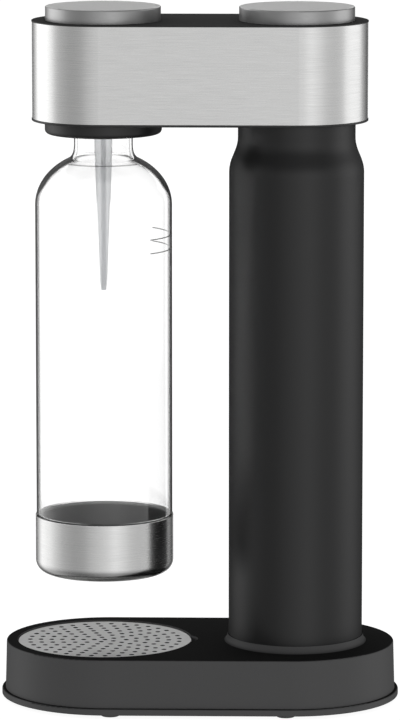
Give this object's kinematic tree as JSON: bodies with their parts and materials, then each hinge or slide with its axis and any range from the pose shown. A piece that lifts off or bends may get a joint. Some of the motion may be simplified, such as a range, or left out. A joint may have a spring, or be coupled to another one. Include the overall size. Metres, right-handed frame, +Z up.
{
  "type": "soda carbonator",
  "caption": "Countertop soda carbonator: a round column with the gas cylinder carries a steel-wrapped head that gasses a bottle hung over a drip tray.",
  "frame": {"origin": "on the table, at the middle of the machine's footprint", "axes": "+Z up; +X from the bottle towards the gas column, so the front of the machine is -X; Y across it"},
  "size_m": [0.234, 0.126, 0.4085],
  "materials": {
    "brushed_steel_head": "stainless sheet brushed along its length, satin",
    "brushed_steel_discs": "pressed stainless discs, fine straight brush, small rounded edge",
    "brushed_steel_grille": "perforated stainless sheet, satin",
    "brushed_steel_cup": "drawn stainless cup brushed round its axis",
    "black_base": "satin black moulded shell",
    "black_column": "satin black tube, very fine texture",
    "black_trim": "satin black cover, bottom plate and collar",
    "clear_bottle": "clear blown PET, glossy",
    "nozzle_grey": "translucent grey moulded nozzle",
    "inner_plastic": "glass-filled nylon, dark grey",
    "cylinder_paint": "painted steel gas cylinder, plain grey",
    "brass_parts": "turned brass",
    "plated_steel": "zinc-plated steel lever, pin, screws and springs",
    "black_rubber": "black rubber feet, gasket and seal",
    "grey_foam": "closed-cell foam pad"
  },
  "bodies": {
    "root": {"base_shell": "black_base", "base_plate": "black_base", "base_screws": "plated_steel", "foot_front_left": "black_rubber", "foot_front_right": "black_rubber", "foot_rear_left": "black_rubber", "foot_rear_right": "black_rubber", "column": "black_column", "column_nut": "inner_plastic", "head_plate": "black_trim", "head_wrap": "brushed_steel_head", "head_cover": "black_trim", "head_chassis": "inner_plastic", "bottle_socket": "black_trim", "socket_nut": "inner_plastic", "bottle_gasket": "black_rubber", "nozzle": "nozzle_grey", "manifold": "inner_plastic", "manifold_screws": "plated_steel", "gas_pipe": "plated_steel", "pipe_nuts": "brass_parts", "relief_valve": "brass_parts", "valve_block": "brass_parts", "valve_seal": "black_rubber", "lever_pin": "plated_steel", "button_spring": "plated_steel", "plunger_spring": "plated_steel"},
    "button": {"button_cap": "brushed_steel_discs", "button_carrier": "inner_plastic"},
    "lever": {"lever": "plated_steel"},
    "plunger": {"plunger": "brass_parts"},
    "rear_cap": {"rear_cap": "brushed_steel_discs", "rear_cap_insert": "inner_plastic"},
    "gas_cylinder": {"cylinder": "cylinder_paint", "cylinder_valve": "brass_parts"},
    "hatch": {"hatch": "black_base", "hatch_pad": "grey_foam"},
    "bottle": {"bottle": "clear_bottle", "bottle_cup": "brushed_steel_cup"},
    "drip_cup": {"drip_cup": "black_base"},
    "drip_grille": {"drip_grille": "brushed_steel_grille"}
  },
  "joints": [
    {"name": "button_press", "type": "slide", "parent": "root", "child": "button", "axis": [0, 0, -1], "range_m": [0, 0.006], "stiffness_N_per_m": 500, "springref_m": -0.006, "deforming": ["button_spring"]},
    {"name": "lever_swing", "type": "hinge", "parent": "root", "child": "lever", "pos_m": [0.084, 0, 0.388], "axis": [0, -1, 0], "range_deg": [0, 2.6]},
    {"name": "plunger_push", "type": "slide", "parent": "root", "child": "plunger", "axis": [0, 0, -1], "range_m": [0, 0.0013], "stiffness_N_per_m": 3000, "springref_m": -0.0005, "deforming": ["plunger_spring"]},
    {"name": "rear_cap_turn", "type": "hinge", "parent": "root", "child": "rear_cap", "pos_m": [0.0562, 0, 0.405], "axis": [0, 0, 1], "range_deg": [0, 45]},
    {"name": "cylinder_unscrew", "type": "hinge", "parent": "root", "child": "gas_cylinder", "pos_m": [0.0562, 0, 0.2], "axis": [0, 0, 1], "range_deg": [-900, 0]},
    {"name": "hatch_turn", "type": "hinge", "parent": "root", "child": "hatch", "pos_m": [0.0562, 0, 0.004], "axis": [0, 0, 1], "range_deg": [-45, 0]},
    {"name": "bottle_drop", "type": "slide", "parent": "root", "child": "bottle", "axis": [0, 0, 1], "range_m": [-0.0415, 0]},
    {"name": "drip_cup_lift", "type": "slide", "parent": "root", "child": "drip_cup", "axis": [0, 0, 1], "range_m": [0, 0.024]},
    {"name": "drip_grille_lift", "type": "slide", "parent": "drip_cup", "child": "drip_grille", "axis": [0, 0, 1], "range_m": [0, 0.012]}
  ],
  "couplings": [
    {"joint": "lever_swing", "follows": "button_press", "rad_per_m": 7.1327},
    {"joint": "plunger_push", "follows": "button_press", "ratio": 0.19829}
  ]
}
